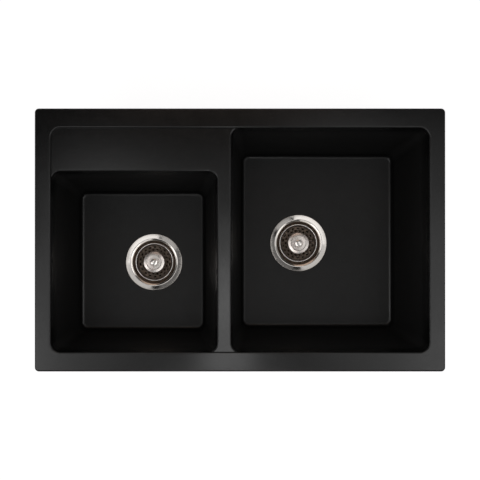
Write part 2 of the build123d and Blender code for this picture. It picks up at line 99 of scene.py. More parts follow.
def tone_ramp(tree, fac, stops):
    """The colour that a ramp gives for fac, from stops of position and colour, or of position and grey."""
    made = shader_node(tree, "ValToRGB", {"Fac": fac})
    elements = made.color_ramp.elements
    while len(elements) < len(stops):
        elements.new(1.0)
    for element, (at, colour) in zip(elements, stops):
        element.position = at
        element.color = (*(colour if isinstance(colour, tuple) else (colour,) * 3), 1)
    return made.outputs["Color"]


def scaled(tree, value, low, high, start=0.0, end=1.0):
    """A value from start to end, stretched to run from low to high and held there beyond them."""
    sockets = {"Value": value, "From Min": start, "From Max": end, "To Min": low, "To Max": high}
    return shader_node(tree, "MapRange", sockets).outputs["Result"]


def noise(tree, place, scale, detail):
    """Cloudy noise from 0 to 1 over a place. Its scale is about the number of clouds to a metre."""
    return shader_node(tree, "TexNoise", {"Vector": place, "Scale": scale, "Detail": detail}).outputs["Fac"]


def part_of(tree, vector, axis):
    """One of a vector's three parts."""
    return shader_node(tree, "SeparateXYZ", {"Vector": vector}).outputs[axis]


def combined(tree, operation, first, second):
    """Two numbers put together by a sum, a product or the like."""
    return shader_node(tree, "Math", {0: first, 1: second}, operation=operation).outputs["Value"]


def raise_skin(tree, shader, height, strength, distance):
    """Lets a height from 0 to 1 raise the surface in the shading by up to a distance."""
    bump = shader_node(tree, "Bump", {"Height": height, "Strength": strength, "Distance": distance})
    tree.links.new(bump.outputs["Normal"], shader.inputs["Normal"])


def granite_composite():
    """Fine grains in near-black resin: cell noise gives each grain its tone, broad noise clouds the mix, the
    height gives how far the surface is rubbed, and small noise raises a slight orange peel. Where the surface
    looks down, tone and roughness go over to the raw skin's."""
    made, tree, shader = finish_of("granite_composite", GRAIN, roughness=0.5)
    place = shader_node(tree, "TexCoord").outputs["Object"]
    cells = shader_node(tree, "TexVoronoi", {"Vector": place, "Scale": GRAIN_SCALE}).outputs["Color"]
    grain = shader_node(tree, "SeparateColor", {"Color": cells}).outputs["Red"]
    facing = part_of(tree, shader_node(tree, "NewGeometry").outputs["Normal"], "Z")
    down = scaled(tree, facing, 0.0, 1.0, *LOOKS_DOWN)
    moulded = tone_ramp(tree, grain, [(0.0, RESIN), (QUARTZ_FROM, GRAIN), (1.0, QUARTZ)])
    raw = tone_ramp(tree, grain, [(0.0, RAW_BINDER), (1.0, RAW_GRAIN)])
    tone = shader_node(tree, "Mix", {0: down, MIX_FIRST: moulded, MIX_SECOND: raw}, data_type="RGBA")
    cloud = scaled(tree, noise(tree, place, CLOUD_SCALE, detail=4.0), 1 - CLOUDING, 1 + CLOUDING)
    clouded = shader_node(tree, "VectorMath", {0: tone.outputs[MIX_RESULT], "Scale": cloud}, operation="SCALE")
    tree.links.new(clouded.outputs["Vector"], shader.inputs["Base Color"])
    worn = tone_ramp(tree, scaled(tree, part_of(tree, place, "Z"), 0.0, 1.0, FLOOR_TOP, LEDGE_TOP), RUBBED)
    uneven = scaled(tree, noise(tree, place, PATCH_SCALE, detail=3.0), -UNEVENNESS, UNEVENNESS)
    rubbed = combined(tree, "ADD", worn, uneven)
    tree.links.new(scaled(tree, down, rubbed, RAW_ROUGHNESS), shader.inputs["Roughness"])
    raise_skin(tree, shader, noise(tree, place, PEEL_SCALE, detail=2.0), PEEL_STRENGTH, PEEL_HEIGHT)
    shader.inputs["IOR"].default_value = RESIN_IOR
    return made


nodes["sink_body"].data.materials[0] = granite_composite()

# ---------------------------------------------------------------- rim seal
# Closed-cell foam tape, stuck by its own adhesive into the groove under the rim. The clips press it onto the
# worktop, which keeps water out of the cut-out.
SEAL_MIDDLE, SEAL_CORNER = (0.383, 0.243), 0.0035
SEAL_HALF_WIDTH, SEAL_HALF_HEIGHT = 0.0029, 0.00098
SEAL_SQUARENESS = 0.35
SEAL_CLEARANCE = 0.00002
# The second tone is a painted shade for the hollow middle of each foam cell, and the third is for the lighter
# ridges.
FOAM, FOAM_HOLLOW_SHADE, FOAM_SKIN = (0.16, 0.16, 0.165), (0.10, 0.10, 0.105), (0.18, 0.18, 0.185)
WELD_STEPS = 1e7


def grid_faces(rows, columns):
    """The four corners of every face of a grid that closes on itself both ways, numbered row by row."""
    row, column = np.mgrid[0:rows, 0:columns]
    here, below = row * columns, (row + 1) % rows * columns
    beside = (column + 1) % columns
    corners = (here + column, here + beside, below + beside, below + column)
    return np.stack(corners, axis=-1).reshape(-1, 4)


def piece_from(name, points, faces, material, axis=(0, 0, 0)):
    """An object whose mesh has these points and faces. Points that coincide are welded, faces that close up
    are dropped, and each point keeps its place from the axis for the material."""
    points = np.asarray(points, float).reshape(-1, 3)
    snapped = np.round(points * WELD_STEPS).astype(np.int64)
    _, first, welded = np.unique(snapped, axis=0, return_index=True, return_inverse=True)
    corners = [tuple(dict.fromkeys(face)) for face in welded.reshape(-1)[faces].tolist()]
    mesh = bpy.data.meshes.new(name)
    mesh.from_pydata(points[first].tolist(), [], [face for face in corners if len(face) > 2])
    mesh.shade_smooth()
    place = mesh.attributes.new("from_axis", "FLOAT_VECTOR", "POINT")
    place.data.foreach_set("vector", (points[first] - np.asarray(axis)).ravel())
    mesh.materials.append(material)
    piece = bpy.data.objects.new(name, mesh)
    bpy.context.scene.collection.objects.link(piece)
    return piece


def full_turn(steps):
    """Equal steps round one turn."""
    return np.arange(steps) * (2 * math.pi / steps)


def squared_off(angle, power):
    """The point (c |c|^(k-1), s |s|^(k-1)) at each angle, with c and s its cosine and sine: a circle whose
    sides are pressed flat as the power k falls below 1."""
    circle = np.stack((np.cos(angle), np.sin(angle)), axis=-1)
    return np.sign(circle) * np.abs(circle) ** power


def seal_surface(corner_steps=8, section_steps=20):
    """A flattened tube carried round the rim. The path is a rounded rectangle, and the surface stands off it by
    the squared-off circle, as wide and as high as the tape."""
    turn = np.linspace(0, math.pi / 2, corner_steps)
    start = np.arange(4)[:, None] * math.pi / 2
    outward = np.stack((np.cos(start + turn), np.sin(start + turn)), -1)
    signs = np.array([(1, 1), (-1, 1), (-1, -1), (1, -1)])[:, None]
    path = signs * (np.array(SEAL_MIDDLE) - SEAL_CORNER) + SEAL_CORNER * outward
    path, outward = path.reshape(-1, 2), outward.reshape(-1, 2)
    section = squared_off(full_turn(section_steps), SEAL_SQUARENESS)[:, None, None]
    side = path + SEAL_HALF_WIDTH * section[..., 0] * outward[None]
    height = np.broadcast_to(SEAL_HALF_HEIGHT * (1 + section[..., 1]) + SEAL_CLEARANCE, side.shape[:2] + (1,))
    return np.concatenate((side, height), axis=-1), grid_faces(section_steps, len(path))


def foam_tape():
    """Dark foam: cell noise sinks small hollows in its skin through the bump, and paints each hollow darker than
    the ridges round it, a painted shade.
    """
    made, tree, shader = finish_of("foam_tape", FOAM, roughness=0.9)
    place = shader_node(tree, "TexCoord").outputs["Object"]
    cells = shader_node(tree, "TexVoronoi", {"Vector": place, "Scale": 1800.0}).outputs["Distance"]
    tree.links.new(tone_ramp(tree, cells, [(0.0, FOAM_HOLLOW_SHADE), (0.7, FOAM_SKIN)]), shader.inputs["Base Color"])
    raise_skin(tree, shader, cells, strength=0.6, distance=0.0004)
    return made


seal = piece_from("foam_rim_seal", *seal_surface(), foam_tape())
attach(seal, "sink")
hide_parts("rim_seal")

# ---------------------------------------------------------------- clip inserts
# Knurled brass inserts, turned from bar and moulded into the bosses under the rim. They take the clips'
# screws.
CLIP_PLACES = [(-0.27, -0.2255), (0, -0.2255), (0.27, -0.2255), (0.372, 0), (0.27, 0.2255), (0, 0.2255)]
CLIP_PLACES += [(-0.27, 0.2255), (-0.372, 0)]
INSERT_FOOT, INSERT_TOP = -0.014, -0.002
INSERT_R, INSERT_BORE_R = 0.004, 0.00255
INSERT_WALL_R = INSERT_R - 0.00002
INSERT_EDGE, INSERT_COLLAR = 0.0003, 0.0008
KNURLS, KNURL_DEPTH = 20, 0.00018
BRASS, TARNISH, RUBBED_BRASS = (0.66, 0.5, 0.24), (0.42, 0.29, 0.12), (0.70, 0.53, 0.26)


def rounded(points, radii, steps=6, guard=0.00004):
    """A closed outline with its corners rounded. Each corner p between unit directions u and v, which open by
    2h, gives way to an arc of radius r about p + r (u + v)/|u + v|/sin h, and a guard point on each side keeps
    the straight runs flat."""
    points = np.asarray(points, float)
    radii = np.asarray(radii, float)[:, None]
    before, after = np.roll(points, 1, axis=0) - points, np.roll(points, -1, axis=0) - points
    before /= np.linalg.norm(before, axis=1, keepdims=True)
    after /= np.linalg.norm(after, axis=1, keepdims=True)
    half = np.arccos(np.clip((before * after).sum(axis=1, keepdims=True), -1, 1)) / 2
    middle = (before + after) / np.maximum(np.linalg.norm(before + after, axis=1, keepdims=True), 1e-9)
    start = before / np.tan(half) - middle / np.sin(half)
    end = after / np.tan(half) - middle / np.sin(half)
    sweep = np.maximum(math.pi - 2 * half, 1e-6)[:, None]
    share = np.linspace(0, 1, steps)[None, :, None]
    spokes = np.sin((1 - share) * sweep) * start[:, None] + np.sin(share * sweep) * end[:, None]
    centre = points + middle * radii / np.sin(half)
    run = radii / np.tan(half) + guard
    arc = centre[:, None] + radii[:, None] * (spokes / np.sin(sweep))
    corner = ((points + before * run)[:, None], arc, (points + after * run)[:, None])
    return np.concatenate(corner, axis=1).reshape(-1, 2)


def turned(outline, centre, columns=128, relief=0.0):
    """A closed outline of (radius, height) points turned about an upright axis. Point i at turn t lies at
    (x + (r + relief) cos t, y + (r + relief) sin t, z + height)."""
    turn = full_turn(columns)
    radius = outline[:, :1] + relief + np.zeros(columns)
    height = outline[:, 1:] + np.zeros(columns)
    points = np.stack((radius * np.cos(turn), radius * np.sin(turn), height), axis=-1) + np.asarray(centre)
    return points, grid_faces(len(outline), columns)


def insert_surface(centre, rows=36, columns=80):
    """A ring whose outer wall is knurled between its collars, r = R - d |sin n(t + z/R) sin n(t - z/R)|^(1/2)
    with n half the number of knurls."""
    wall = np.linspace(INSERT_FOOT + INSERT_COLLAR, INSERT_TOP - INSERT_COLLAR, rows)
    foot = [(INSERT_BORE_R, INSERT_FOOT + INSERT_EDGE), (INSERT_BORE_R + INSERT_EDGE, INSERT_FOOT)]
    foot += [(INSERT_R - INSERT_EDGE, INSERT_FOOT), (INSERT_WALL_R, INSERT_FOOT + INSERT_EDGE)]
    top = [(INSERT_WALL_R, INSERT_TOP - INSERT_EDGE), (INSERT_R - INSERT_EDGE, INSERT_TOP)]
    top += [(INSERT_BORE_R + INSERT_EDGE, INSERT_TOP), (INSERT_BORE_R, INSERT_TOP - INSERT_EDGE)]
    outline = np.concatenate((foot, np.stack((np.full(rows, INSERT_WALL_R), wall), axis=-1), top))
    turn = full_turn(columns)
    slant = outline[:, 1:] / INSERT_R
    cut = np.sqrt(np.abs(np.sin(KNURLS / 2 * (turn + slant)) * np.sin(KNURLS / 2 * (turn - slant))))
    knurled = (outline[:, 1:] >= wall[0]) & (outline[:, 1:] <= wall[-1])
    return turned(outline, (*centre, 0), columns, -KNURL_DEPTH * cut * knurled)


def brass():
    """Turned brass: fine tool rings in the bump, and a broad dulling where air has tarnished it."""
    made, tree, shader = finish_of("insert_brass", BRASS, roughness=0.3, metallic=1.0)
    place = shader_node(tree, "TexCoord").outputs["Object"]
    air = noise(tree, place, scale=350.0, detail=3.0)
    tree.links.new(tone_ramp(tree, air, [(0.3, TARNISH), (0.6, RUBBED_BRASS)]), shader.inputs["Base Color"])
    tree.links.new(scaled(tree, air, 0.45, 0.2), shader.inputs["Roughness"])
    tool = {"W": part_of(tree, place, "Z"), "Scale": 9000.0}
    rings = shader_node(tree, "TexNoise", tool, noise_dimensions="1D").outputs["Fac"]
    raise_skin(tree, shader, rings, strength=0.2, distance=0.00005)
    return made


insert_brass = brass()
for number, place in enumerate(CLIP_PLACES, 1):
    insert = piece_from(f"brass_insert_{number}", *insert_surface(place), insert_brass, (*place, 0))
    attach(insert, "sink")
    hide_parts(f"clip_insert_{number}")

# ---------------------------------------------------------------- clip screws
# Zinc-plated steel machine screws with a rolled thread and a cross recess in the domed head. Each runs up into
# its insert and draws the arm with it.
CROWN_R, CROWN_FOOT, CROWN_RISE = 0.0042, -0.0515, 0.0009
HEAD_SIDE = [(0.0047, -0.0501), (0.005, -0.0495), (0.005, -0.0483), (0.0047, -0.048), (0.0027, -0.048)]
HEAD_SIDE += [(0.0025, -0.0477)]
SCREW_TIP = [(0.0022, -0.008), (0, -0.008)]
SCREW_R, THREAD_FOOT, THREAD_TOP = 0.0025, -0.0474, -0.0086
THREAD_PITCH, THREAD_DEPTH = 0.0008, 0.00042
CROSS_REACH, CROSS_HALF_WIDTH, CROSS_DEPTH = 0.0026, 0.00055, 0.0016
CROSS_SIDE, CROSS_RAMP = 0.0002, 0.0009
ZINC = (0.6, 0.6, 0.59)
ZINC_TINTS = [(0.3, (0.44, 0.47, 0.52)), (0.5, (0.62, 0.62, 0.60)), (0.7, (0.66, 0.62, 0.52))]


def screw_surface(centre, columns=24, thread_steps=7, crown_steps=22):
    """A threaded shank under which hangs a domed head. On the shank r = R - d w(z/pitch - t/2 pi), where w is a
    wave of triangles. The head's crown is sunk by a cross: depth D where a point is near either arm's line."""
    threads = np.arange(THREAD_FOOT, THREAD_TOP, THREAD_PITCH / thread_steps)
    shank = np.stack((np.full(threads.shape, SCREW_R), threads), axis=-1)
    spread = np.linspace(0, 1, crown_steps)
    crown = np.stack((spread * CROWN_R, CROWN_FOOT + CROWN_RISE * spread**2), axis=-1)
    outline = np.concatenate((crown, HEAD_SIDE, shank, SCREW_TIP))
    wave = np.abs(((outline[:, 1:] / THREAD_PITCH - full_turn(columns) / (2 * math.pi)) % 1) * 2 - 1)
    threaded = (outline[:, 1:] >= threads[0]) & (outline[:, 1:] <= threads[-1])
    points, faces = turned(outline, (0, 0, 0), columns, -THREAD_DEPTH * wave * threaded)
    across = np.abs(points[..., :2])
    arms = np.clip((CROSS_HALF_WIDTH - across) / CROSS_SIDE + 1, 0, 1)
    arms = arms * np.clip((CROSS_REACH - across[..., ::-1]) / CROSS_RAMP, 0, 1)
    on_crown = np.arange(len(outline)) < len(crown)
    points[..., 2] += CROSS_DEPTH * arms.max(axis=-1) * on_crown[:, None]
    return points + np.array((*centre, 0)), faces


def zinc_plate(name, roughness):
    """Bright zinc over steel: broad cloudy spangle in tone and roughness, with a faint blue and straw tint."""
    made, tree, shader = finish_of(name, ZINC, roughness, metallic=1.0)
    place = shader_node(tree, "TexCoord").outputs["Object"]
    cloud = noise(tree, place, scale=260.0, detail=5.0)
    tree.links.new(tone_ramp(tree, cloud, ZINC_TINTS), shader.inputs["Base Color"])
    tree.links.new(scaled(tree, cloud, roughness - 0.12, roughness + 0.12), shader.inputs["Roughness"])
    pits = noise(tree, place, scale=2200.0, detail=2.0)
    raise_skin(tree, shader, pits, strength=0.2, distance=0.00008)
    return made


zinc_screw = zinc_plate("zinc_plated_screw", 0.32)
for number, place in enumerate(CLIP_PLACES, 1):
    screw = piece_from(f"zinc_screw_{number}", *screw_surface(place), zinc_screw, (*place, 0))
    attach(screw, f"clip_{number}_screw")
    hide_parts(f"clip_screw_{number}")

# ---------------------------------------------------------------- clip arms
# Blanked and bent from 2 mm zinc-plated sheet, with three teeth that bite the underside of the worktop. The
# solids already have their shape.
zinc_sheet = zinc_plate("zinc_plated_sheet", 0.38)
for number in range(1, len(CLIP_PLACES) + 1):
    nodes[f"clip_arm_{number}"].data.materials[0] = zinc_sheet

# ---------------------------------------------------------------- strainer gaskets
# A soft foam ring beds each flange in its recess, and a moulded rubber ring seals the support cup against the
# underside of the floor. The locknut's pull squeezes both. The solids already have their shape.
DRAINS = {"left": (-0.181, -0.0465, FLOOR_TOP), "right": (0.123, -0.0065, FLOOR_TOP)}
BEDDING, RUBBER = (0.05, 0.05, 0.05), (0.022, 0.022, 0.022)


def moulded_rubber(name, colour, roughness):
    """Moulded rubber: dusty patches in tone and roughness over a fine grained skin."""
    made, tree, shader = finish_of(name, colour, roughness)
    place = shader_node(tree, "TexCoord").outputs["Object"]
    dust = noise(tree, place, scale=90.0, detail=6.0)
    pale = tuple(value * 1.8 + 0.01 for value in colour)
    tree.links.new(tone_ramp(tree, dust, [(0.35, colour), (0.75, pale)]), shader.inputs["Base Color"])
    tree.links.new(scaled(tree, dust, roughness - 0.1, roughness + 0.1), shader.inputs["Roughness"])
    grain = noise(tree, place, scale=2500.0, detail=2.0)
    raise_skin(tree, shader, grain, strength=0.3, distance=0.0001)
    return made


sealing_foam = moulded_rubber("sealing_foam", BEDDING, 0.85)
black_rubber = moulded_rubber("black_rubber", RUBBER, 0.55)
for side in DRAINS:
    nodes[f"flange_gasket_{side}"].data.materials[0] = sealing_foam
    nodes[f"under_gasket_{side}"].data.materials[0] = black_rubber

# ---------------------------------------------------------------- strainer cup
# Deep drawn from 1.5 mm stainless steel: a dished flange, polished like a mirror, that lies in the floor's
# recess, and a cup whose wall tapers to a flat floor. From the lip down the steel is painted darker and browner,
# a painted shade deepening into the cup with a warm painted reflection, and its roughness rises the same way.
CUP_SHEET = 0.0015
CUP_LINE = [(0.059, -0.00055), (0.0496, 0.00005), (0.0444, -0.00135), (0.04055, -0.008)]
CUP_LINE += [(0.03955, -0.04275), (0.0215, -0.04275)]
CUP_BENDS = [0.005, 0.0045, 0.004, 0.006]
CUP_STEEL = (0.78, 0.74, 0.70)
# The depth range, from top to foot, over which the painted shade and the dulling of the strainer's steel run.
DEPTH_TOP, DEPTH_FOOT = 0.001, -0.039
# Painted shade with a warm painted reflection: from the lip down, the cup's steel turns darker and browner.
CUP_PAINTED_SHADE = [(0.015, (1, 1, 1)), (0.03, (0.77, 0.71, 0.66)), (0.042, (0.60, 0.52, 0.46))]
CUP_PAINTED_SHADE += [(0.1, (0.50, 0.42, 0.35)), (0.25, (0.36, 0.30, 0.25)), (0.5, (0.10, 0.07, 0.05))]
CUP_DULLING = [(0.012, 0.0), (0.03, 0.2), (0.05, 0.3)]
RING_SCALE, RING_HEIGHT, WIPING_SCALE = 3200.0, 0.00004, 90.0
SMOOTHEST, ROUGHEST, PALEST = 0.6, 2.2, 1.06


def pressed_sheet(line, bends, thickness, edge_r=0.0002, steps=8):
    """The outline of sheet about a middle line of (radius, height) points. Both faces lie half a thickness t
    from the line, at p + (a + b) t/2/(1 + a.b) where runs with normals a and b meet, each bend keeps its radius
    at the middle, and the cut edges are rounded."""
    line = np.asarray(line, float)
    run = np.diff(line, axis=0)
    run /= np.linalg.norm(run, axis=1, keepdims=True)
    left = np.stack((-run[:, 1], run[:, 0]), axis=-1)
    mitre = (left[:-1] + left[1:]) / (1 + (left[:-1] * left[1:]).sum(axis=1, keepdims=True))
    stand = np.concatenate((left[:1], mitre, left[-1:])) * thickness / 2
    turns_left = np.sign(run[:-1, 0] * run[1:, 1] - run[:-1, 1] * run[1:, 0])
    edge = [edge_r]
    near = np.concatenate((edge, np.maximum(bends + turns_left * thickness / 2, 0), edge))
    far = np.concatenate((edge, np.maximum(bends - turns_left * thickness / 2, 0), edge))
    outline = np.concatenate((line - stand, (line + stand)[::-1]))
    return rounded(outline, np.concatenate((near, far[::-1])), steps)


def spun_steel(name, colour, roughness, ring_depth, painted_shade=None, dulling=None):
    """Steel worked on a lathe or buffed in the round: noise on the distance from the axis and the height draws
    fine rings in bump and roughness, and broad noise adds wiping marks. A painted shade may darken and tint the
    surface by stops along the share of the way down it, and a dulling adds roughness by its own stops the same
    way."""
    made, tree, shader = finish_of(name, colour, roughness, metallic=1.0)
    place = shader_node(tree, "Attribute", attribute_name="from_axis").outputs["Vector"]
    part = shader_node(tree, "SeparateXYZ", {"Vector": place}).outputs
    flat = shader_node(tree, "CombineXYZ", {"X": part["X"], "Y": part["Y"]}).outputs["Vector"]
    out = shader_node(tree, "VectorMath", {0: flat}, operation="LENGTH").outputs["Value"]
    reel = shader_node(tree, "CombineXYZ", {"X": out, "Y": part["Z"]}).outputs["Vector"]
    rings = noise(tree, reel, RING_SCALE, detail=3.0)
    wiped = noise(tree, place, WIPING_SCALE, detail=5.0)
    worked = combined(tree, "MULTIPLY", rings, wiped)
    worked = scaled(tree, worked, roughness * SMOOTHEST, roughness * ROUGHEST)
    pale = tuple(min(value * PALEST, 1) for value in colour)
    tone = tone_ramp(tree, wiped, [(0.3, colour), (0.7, pale)])
    # Painted shade: the colour darkens and tints with depth down the cup or basket.
    if painted_shade:
        depth = scaled(tree, part["Z"], 0.0, 1.0, DEPTH_TOP, DEPTH_FOOT)
        shaded_tone = {0: tone, 1: tone_ramp(tree, depth, painted_shade)}
        tone = shader_node(tree, "VectorMath", shaded_tone, operation="MULTIPLY").outputs["Vector"]
        worked = combined(tree, "ADD", worked, tone_ramp(tree, depth, dulling))
    tree.links.new(worked, shader.inputs["Roughness"])
    tree.links.new(tone, shader.inputs["Base Color"])
    raise_skin(tree, shader, rings, ring_depth, RING_HEIGHT)
    return made


polished_steel = spun_steel("polished_steel", CUP_STEEL, 0.07, 0.04, CUP_PAINTED_SHADE, CUP_DULLING)
cup_outline = pressed_sheet(CUP_LINE, CUP_BENDS, CUP_SHEET)
for side, axis in DRAINS.items():
    cup = piece_from(f"strainer_cup_{side}", *turned(cup_outline, axis, 192), polished_steel, axis)
    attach(cup, "sink")
    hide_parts(f"drain_cup_{side}")

# ---------------------------------------------------------------- outlet and cross bar
# A turned stainless tube welded under the cup, threaded for the locknut and then for the waste trap's nut, with
# a pressed cross bar across its bore that the basket's spring snaps through.
OUTLET_END = [(0.0215, -0.0775), (0.022, -0.078), (0.0228, -0.078), (0.023, -0.0777)]
OUTLET_WELD = [(0.0244, -0.0436), (0.0215, -0.0436)]
WALL_FOOT, OUTLET_STEP, WALL_TOP = -0.0772, -0.060, -0.0440
LOCKNUT_THREAD_R, TRAP_THREAD_R = 0.0246, 0.0239
PIPE_PITCH, PIPE_THREAD_DEPTH, FLATTENING = 0.0022, 0.0011, 0.25
THREAD_START, THREAD_STOP, STEP_HALF_NECK, THREAD_FADE = -0.078, -0.046, 0.0006, 0.0012
BAR_TOP, BAR_FOOT, BAR_EDGE = -0.047, -0.050, 0.0004
BAR_HUB_R, BAR_HOLE_R, BAR_REACH, BAR_HALF_WIDTH, BAR_ARMS = 0.009, 0.005, 0.02145, 0.002, 4
SATIN = (0.55, 0.55, 0.54)


def outlet_surface(axis, columns=128, thread_steps=12):
    """A tube with an outer thread: r = R - d w(z/pitch - t/2 pi), where w is a wave of triangles with its
    crests and roots cut flat, and the thread fades at both ends and at the step between the two sizes."""
    rows = np.arange(WALL_FOOT, WALL_TOP, PIPE_PITCH / thread_steps)
    wall = np.stack((np.where(rows < OUTLET_STEP, TRAP_THREAD_R, LOCKNUT_THREAD_R), rows), axis=-1)
    outline = np.concatenate((OUTLET_END, wall, OUTLET_WELD))
    height = outline[:, 1:]
    saw = np.abs(((height / PIPE_PITCH - full_turn(columns) / (2 * math.pi)) % 1) * 2 - 1)
    wave = np.clip(saw * (1 + 2 * FLATTENING) - FLATTENING, 0, 1)
    from_step = np.abs(height - OUTLET_STEP) - STEP_HALF_NECK
    from_ends = np.minimum(height - THREAD_START, THREAD_STOP - height)
    fade = np.clip(np.minimum(from_step, from_ends) / THREAD_FADE, 0, 1)
    threaded = (height >= rows[0]) & (height <= rows[-1])
    return turned(outline, axis, columns, -PIPE_THREAD_DEPTH * wave * (fade * threaded))


def ring_plate(axis, bore_r, outer_r, foot, top, edge_r, reach):
    """A flat ring with rounded edges whose outer wall stands at the radius reach(t) instead of a constant one."""
    section = [(bore_r, foot), (outer_r, foot), (outer_r, top), (bore_r, top)]
    outline = rounded(section, [edge_r] * 4, 5)
    outside = outline[:, :1] > (bore_r + outer_r) / 2
    return turned(outline, axis, reach.size, (reach - outer_r) * outside)


def off_line(turn, lines):
    """The angle from each turn to the nearest of some lines that share the full turn equally."""
    pitch = 2 * math.pi / lines
    return np.abs((turn + pitch / 2) % pitch - pitch / 2)


def cross_reach(steps=480):
    """The cross bar's radius at each turn t: an arm's side stands at w/sin f, where f is the angle from the
    nearest arm's line, between the hub's radius and the bore."""
    off = off_line(full_turn(steps), BAR_ARMS)
    return np.clip(BAR_HALF_WIDTH / np.maximum(np.sin(off), 1e-6), BAR_HUB_R, BAR_REACH)


satin_steel = spun_steel("satin_steel", SATIN, 0.22, 0.3)
for side, axis in DRAINS.items():
    outlet = piece_from(f"threaded_outlet_{side}", *outlet_surface(axis), satin_steel, axis)
    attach(outlet, "sink")
    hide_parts(f"drain_outlet_{side}")
    bar_shape = ring_plate(axis, BAR_HOLE_R, BAR_HUB_R, BAR_FOOT, BAR_TOP, BAR_EDGE, cross_reach())
    bar = piece_from(f"outlet_cross_bar_{side}", *bar_shape, satin_steel, axis)
    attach(bar, "sink")
    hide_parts(f"cross_bar_{side}")

# ---------------------------------------------------------------- support cup and locknut
# The support cup is drawn from stainless sheet and pushed up over the strainer from below. The locknut, moulded
# in black plastic with lugs for the fingers, runs up the outlet's thread and clamps it.
SUPPORT_LINE = [(0.053, -0.01375), (0.04425, -0.01375), (0.04325, -0.04875), (0.0247, -0.04875)]
SUPPORT_BENDS = [0.0012, 0.003]
SUPPORT_SHEET = 0.0015
NUT_TOP, NUT_FOOT, NUT_EDGE = -0.0495, -0.0595, 0.0008
NUT_BORE_R, NUT_R = 0.0247, 0.029
NUT_LUGS, NUT_LUG_REACH, NUT_LUG_HALF_WIDTH = 8, 0.004, 0.0035
LUG_FLANK, LUG_SHOULDER = 0.0012, 0.15
PLASTIC, PLASTIC_FACE, PLASTIC_SCUFF = (0.02, 0.02, 0.021), (0.018, 0.018, 0.019), (0.04, 0.04, 0.042)


def nut_reach(steps=384):
    """The locknut's radius at each turn t: R plus the lug's reach times a smooth step of the distance from the
    nearest lug's line."""
    off = off_line(full_turn(steps), NUT_LUGS) * (NUT_R + NUT_LUG_REACH)
    rise = np.clip((NUT_LUG_HALF_WIDTH - off) / LUG_FLANK + LUG_SHOULDER, 0, 1)
    return NUT_R + NUT_LUG_REACH * rise**2 * (3 - 2 * rise)


def black_plastic():
    """Injection-moulded plastic: an even spark-eroded grain, with small scuffs that shine."""
    made, tree, shader = finish_of("black_plastic", PLASTIC, roughness=0.45)
    place = shader_node(tree, "TexCoord").outputs["Object"]
    grain = shader_node(tree, "TexVoronoi", {"Vector": place, "Scale": 3000.0}).outputs["Distance"]
    scuff = noise(tree, place, scale=150.0, detail=8.0)
    tone = tone_ramp(tree, scuff, [(0.4, PLASTIC_FACE), (0.7, PLASTIC_SCUFF)])
    tree.links.new(tone, shader.inputs["Base Color"])
    tree.links.new(scaled(tree, scuff, 0.6, 0.3), shader.inputs["Roughness"])
    raise_skin(tree, shader, grain, strength=0.25, distance=0.0001)
    return made


nut_plastic = black_plastic()
support_outline = pressed_sheet(SUPPORT_LINE, SUPPORT_BENDS, SUPPORT_SHEET)
for side, axis in DRAINS.items():
    support_shape = turned(support_outline, axis, 144)
    support = piece_from(f"support_cup_{side}_shell", *support_shape, satin_steel, axis)
    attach(support, "sink")
    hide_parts(f"support_cup_{side}")
    nut_shape = ring_plate(axis, NUT_BORE_R, NUT_R, NUT_FOOT, NUT_TOP, NUT_EDGE, nut_reach())
    locknut = piece_from(f"locknut_{side}", *nut_shape, nut_plastic, axis)
    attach(locknut, "sink")
    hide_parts(f"cup_locknut_{side}")

# ---------------------------------------------------------------- basket
# Pressed from 1 mm stainless sheet, with a rolled rim, a plain wall, two staggered rings of punched holes in
# the slope below it and a flat floor riveted to the post.
BASKET_HALF_SHEET = 0.0005
BASKET_RIM = (0.0388, -0.0078)
BASKET_BEAD, BEAD_SQUARENESS = (0.0008, 0.00045), 0.55
BASKET_WAIST = (0.0346, -0.022)
BASKET_FOOT = (0.022, -0.034)
BASKET_HUB = (0.0046, -0.034)
BASKET_BEND = 0.003
HOLE_ROWS, HOLES_IN_ROW, HOLE_R = 2, 18, 0.0024
HALF_SIDE_POINTS = 4
BASKET_COLUMNS = HOLES_IN_ROW * 2 * HALF_SIDE_POINTS
BASKET_STEEL = (0.92, 0.88, 0.85)
# Painted shade: down the slope to the floor, the basket's steel turns darker and a little warmer.
BASKET_PAINTED_SHADE = [(0.24, (1, 1, 1)), (0.28, (0.95, 0.94, 0.93)), (0.5, (0.95, 0.93, 0.91))]
BASKET_PAINTED_SHADE += [(0.66, (0.80, 0.74, 0.70)), (0.82, (0.50, 0.45, 0.42))]
BASKET_DULLING = [(0.24, 0.0), (0.3, 0.1), (1.0, 0.16)]


def bend_points(corner, before, after, radius, steps=6):
    """The arc of a radius that touches the two runs from a corner towards the points before and after it."""
    return rounded([before, corner, after], [0, radius, 0], steps, 0)[steps + 3 : 2 * steps + 3]


def layer(place, normal, stand, turn):
    """Points at the turns t on a sheet's face that stands off its middle line along the line's normal."""
    radius = place[..., 0] + stand * normal[..., 0]
    height = place[..., 1] + stand * normal[..., 1]
    return np.stack((radius * np.cos(turn), radius * np.sin(turn), height + 0 * turn), axis=-1)


def strip_faces(rows, columns):
    """The faces of a grid that closes round its columns and is open at its first and last row."""
    return grid_faces(rows, columns)[: (rows - 1) * columns]


def plain_band(line):
    """Both faces of a band of the basket about its middle line, on a grid of line points by turns."""
    along = np.gradient(line, axis=0)
    along /= np.linalg.norm(along, axis=1, keepdims=True)
    normal = np.stack((along[:, 1], -along[:, 0]), axis=-1)[:, None]
    turn = full_turn(BASKET_COLUMNS)[None]
    faces = strip_faces(len(line), BASKET_COLUMNS)
    inner = layer(line[:, None], normal, BASKET_HALF_SHEET, turn)
    outer = layer(line[:, None], normal, -BASKET_HALF_SHEET, turn)
    return [(inner, faces), (outer, faces[:, ::-1])]


